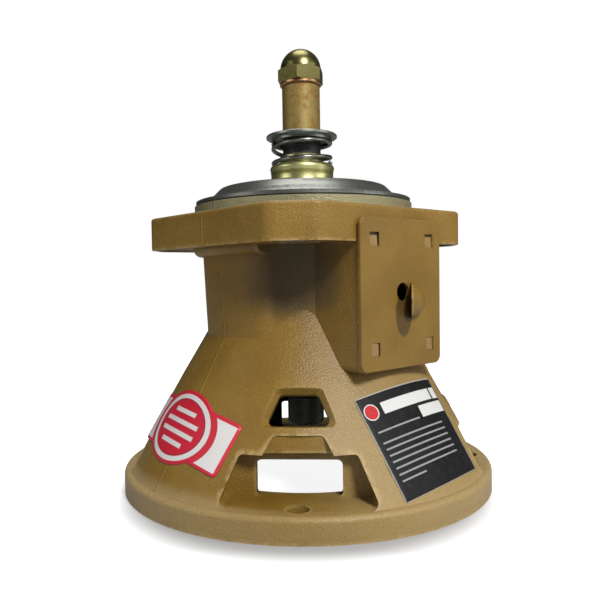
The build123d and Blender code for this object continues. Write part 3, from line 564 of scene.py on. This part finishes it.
# Seal spring of round wire; both end coils are closed and lie flat, and the cut ends are rounded
spring = {
    "footZ": 133.12, "topZ": 141.18, "coilRadius": 12.0, "wireRadius": 0.9, "turns": 2.5, "closedTurns": 0.5,
    "stepsPerTurn": 64, "wireSides": 16, "tipRings": 4, "tipLength": 0.35, "tipSmallest": 0.02,
    "fixedZ": 132.2, "keep": 0.59,
}


def springSpot(part, turn):
    climb = (turn - part["closedTurns"]) / (part["turns"] - 2 * part["closedTurns"])
    climb = min(max(climb, 0), 1)
    height = part["footZ"] + (part["topZ"] - part["footZ"]) * climb**2 * (3 - 2 * climb)
    return Vector((part["coilRadius"] * cos(2 * pi * turn), part["coilRadius"] * sin(2 * pi * turn), height))


def makeSpring(part, material):
    steps = int(part["turns"] * part["stepsPerTurn"])
    sides = part["wireSides"]
    rings = [(step, 1.0, 0.0) for step in range(steps + 1)]
    for number in range(1, part["tipRings"] + 1):
        bend = pi / 2 * number / part["tipRings"]
        size = max(cos(bend), part["tipSmallest"])
        push = part["tipLength"] * sin(bend)
        rings.insert(0, (0, size, -push))
        rings.append((steps, size, push))
    spots = []
    for step, size, push in rings:
        turn = step / part["stepsPerTurn"]
        centre = springSpot(part, turn)
        along = (springSpot(part, turn + 0.002) - springSpot(part, turn - 0.002)).normalized()
        outward = Vector((centre.x, centre.y, 0)).normalized()
        upward = outward.cross(along)
        for side in range(sides):
            angle = 2 * pi * side / sides
            rim = outward * cos(angle) + upward * sin(angle)
            spots.append(centre + along * push + rim * (part["wireRadius"] * size))
    faces = []
    for row in range(len(rings) - 1):
        faces += bridge(row * sides, (row + 1) * sides, sides)
    faces.append(tuple(range(sides)))
    faces.append(tuple(reversed(range(len(spots) - sides, len(spots)))))
    return makePiece("springCoil", spots, faces, material)


springCoil = makeSpring(spring, metalSurface("springSteel"))
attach(springCoil, "rotor")
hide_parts("seal_spring")
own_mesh(springCoil)
print("seal spring made")

# The bell's cone, unrolled flat: u runs round it and v up it, in mm from a piece's centre
cone = {"apexZ": 132.05, "half": radians(30.885)}


def patchPlace(part):  # how far round and down the unrolled cone a patch lies, and its tilt there
    turn = radians(part["azimuth"]) * sin(cone["half"])
    return turn, (cone["apexZ"] - part["z"]) / cos(cone["half"]), turn + radians(part["tilt"])


def coneSpot(part, u, v, lift):
    turn, reach, tilt = patchPlace(part)
    px = reach * sin(turn) + u * cos(tilt) - v * sin(tilt)
    py = -reach * cos(turn) + u * sin(tilt) + v * cos(tilt)
    azimuth = atan2(px, -py) / sin(cone["half"])
    out = hypot(px, py) * sin(cone["half"]) + lift * cos(cone["half"])
    height = cone["apexZ"] - hypot(px, py) * cos(cone["half"]) + lift * sin(cone["half"])
    return Vector((out * sin(azimuth), -out * cos(azimuth), height))


def unrolled(part, place):
    turn, centre, tilt = patchPlace(part)
    angle = place.maths("ARCTAN2", place.axis(0), -place.axis(1)) * sin(cone["half"])
    reach = (cone["apexZ"] - place.axis(2)) / cos(cone["half"])
    px = angle.sine() * reach - centre * sin(turn)
    py = centre * cos(turn) - angle.cosine() * reach
    return px * cos(tilt) + py * sin(tilt), py * cos(tilt) - px * sin(tilt)


def makePatch(name, part, outline, material):
    shares = [0.12, 0.25, 0.37, 0.5, 0.62, 0.75, 0.86, 0.95, 1.0]  # rings of points, from the middle out
    count = len(outline)
    spots = [coneSpot(part, 0, 0, part["lift"])]
    for share in shares:
        spots += [coneSpot(part, u * share, v * share, part["lift"]) for u, v in outline]
    spots += [coneSpot(part, u, v, part["sink"]) for u, v in outline]
    spots.append(coneSpot(part, 0, 0, part["sink"]))
    faces = [(0, 1 + number, 1 + (number + 1) % count) for number in range(count)]
    for row in range(len(shares)):
        faces += bridge(1 + row * count, 1 + (row + 1) * count, count)
    base = 1 + len(shares) * count
    faces += [(len(spots) - 1, base + (number + 1) % count, base + number) for number in range(count)]
    return makePiece(name, spots, faces, material)


def boxOutline(part, spacing=0.8):
    halfWidth, halfHeight, corner = part["halfWidth"], part["halfHeight"], part["corner"]
    outline = []
    for right, up, start in ((1, -1, -90), (1, 1, 0), (-1, 1, 90), (-1, -1, 180)):
        for step in range(7):
            angle = radians(start + 15 * step)
            u = right * (halfWidth - corner) + corner * cos(angle)
            v = up * (halfHeight - corner) + corner * sin(angle)
            outline.append((u, v))
    filled = []
    for (u0, v0), (u1, v1) in zip(outline, outline[1:] + outline[:1]):
        pieces = max(1, round(hypot(u1 - u0, v1 - v0) / spacing))
        filled += [(u0 + (u1 - u0) * step / pieces, v0 + (v1 - v0) * step / pieces) for step in range(pieces)]
    return filled


# Rating label on the right of the bell: black foil with pale fields, a red disc and ruled lines
label = {
    "azimuth": 45.7, "z": 28.6, "tilt": 3.5, "halfWidth": 22.2, "halfHeight": 19.1, "corner": 0.9,
    "lift": 0.22, "sink": -0.3, "specular": 0.22,
    "ground": tone(0.006, 0.006, 0.007), "groundWorn": tone(0.014, 0.014, 0.015),
    "field": tone(0.60, 0.60, 0.58), "edge": tone(0.42, 0.40, 0.36), "edgeWidth": 0.35,
    "disc": tone(0.46, 0.022, 0.03), "discRim": tone(0.60, 0.58, 0.56),
    "discSpot": (-18.2, 13.0), "discRadius": 2.6,
    "fields": [(-13.3, 10.9, 15.4, 15.2), (16.5, 10.8, 21.2, 15.2), (3.6, 5.3, 21.2, 9.7)],
    "ruleLeft": -19.6, "ruleHalf": 0.30, "ruleShare": 0.45,
    "rules": [(5.6, 1.6), (1.6, 14.4), (-0.7, 14.4), (-3.0, 14.4), (-5.3, 14.4), (-7.6, 14.4), (-9.9, 14.4),
              (-12.2, -8.0)],  # height and right end of each
}


def labelPrint(place, facing):
    part = label
    u, v = unrolled(part, place)
    wear = place.noise(2.2, 3.0, 0.6)
    pale = inBoxes(u, v, part["fields"])
    left, half = part["ruleLeft"], part["ruleHalf"]
    lines = inBoxes(u, v, [(left, height - half, right, height + half) for height, right in part["rules"]], 0.06)
    across, along = u - part["discSpot"][0], v - part["discSpot"][1]
    fromRim = (across * across + along * along).root() - part["discRadius"]
    width, height = part["halfWidth"] - part["edgeWidth"], part["halfHeight"] - part["edgeWidth"]
    within = inBox(u, v, (-width, -height, width, height), 0.08)
    color = wear.step(0.4, 0.75).mix(part["ground"], part["groundWorn"])
    color = pale.mix(color, part["field"])
    color = (lines * part["ruleShare"]).mix(color, part["field"])
    color = fromRim.step(0.5, 0.3).mix(color, part["discRim"])
    color = fromRim.step(0.1, -0.1).mix(color, part["disc"])
    color = within.mix(part["edge"], color)
    return {
        "Base Color": color,
        "Roughness": 0.44 + wear * 0.14 + pale * 0.1,
        "Normal": place.noise(3.0, 2.0).bump(0.02),
    }


labelFoil = surface("labelPrint", {"Specular IOR Level": label["specular"]}, labelPrint)
ratingLabel = makePatch("ratingLabel", label, boxOutline(label), labelFoil)
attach(ratingLabel, "bracket")

# Sticker on the left of the bell: a red oval with a white ring and four white bars, on a strip with a red edge
sticker = {
    "azimuth": -48.9, "z": 30.25, "tilt": -4.0, "lift": 0.22, "sink": -0.3, "specular": 0.5,
    "ovalHalfWidth": 20.8, "ovalHalfHeight": 14.2, "stripHalfWidth": 29.6, "stripHalfHeight": 10.0,
    "red": tone(0.53, 0.011, 0.033), "deepRed": tone(0.30, 0.010, 0.030), "white": tone(0.66, 0.64, 0.62),
    "bleed": 1.3, "ringOuter": -1.4, "ringInner": -3.2, "lineInner": -3.6, "outlinePoints": 168,
    "bars": [(-7.6, 5.2, 7.6, 6.9), (-11.8, 1.2, 11.8, 2.9),
             (-11.8, -2.9, 11.8, -1.2), (-7.6, -6.9, 7.6, -5.2)],
}


def stickerOutline(part):
    outline = []
    for number in range(part["outlinePoints"]):
        angle = 2 * pi * number / part["outlinePoints"]
        oval = 1 / hypot(cos(angle) / part["ovalHalfWidth"], sin(angle) / part["ovalHalfHeight"])
        strip = 1 / max(abs(cos(angle)) / part["stripHalfWidth"], abs(sin(angle)) / part["stripHalfHeight"])
        reach = max(oval, strip)
        outline.append((reach * cos(angle), reach * sin(angle)))
    return outline


def stickerPrint(place, facing):
    part = sticker
    u, v = unrolled(part, place)
    across, along = u / part["ovalHalfWidth"], v / part["ovalHalfHeight"]
    fromOval = ((across * across + along * along).root() - 1.0) * part["ovalHalfHeight"]
    paper = place.noise(5.0, 3.0)
    width, height = part["stripHalfWidth"] - part["bleed"], part["stripHalfHeight"] - part["bleed"]
    strip = inBox(u, v, (-width, -height, width, height)) * fromOval.step(0.75, 0.95)
    ring = between(fromOval, part["ringInner"], part["ringOuter"])
    line = between(fromOval, part["lineInner"], part["ringInner"])
    pale = strip.higher(ring).higher(inBoxes(u, v, part["bars"]))
    color = line.mix(pale.mix(part["red"], part["white"]), part["deepRed"])
    return {"Base Color": color, "Roughness": 0.38 + paper * 0.12, "Normal": paper.bump(0.03)}


stickerPaper = surface("stickerPrint", {"Specular IOR Level": sticker["specular"]}, stickerPrint)
roundSticker = makePatch("roundSticker", sticker, stickerOutline(sticker), stickerPaper)
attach(roundSticker, "bracket")
print("label and sticker laid on the bell")
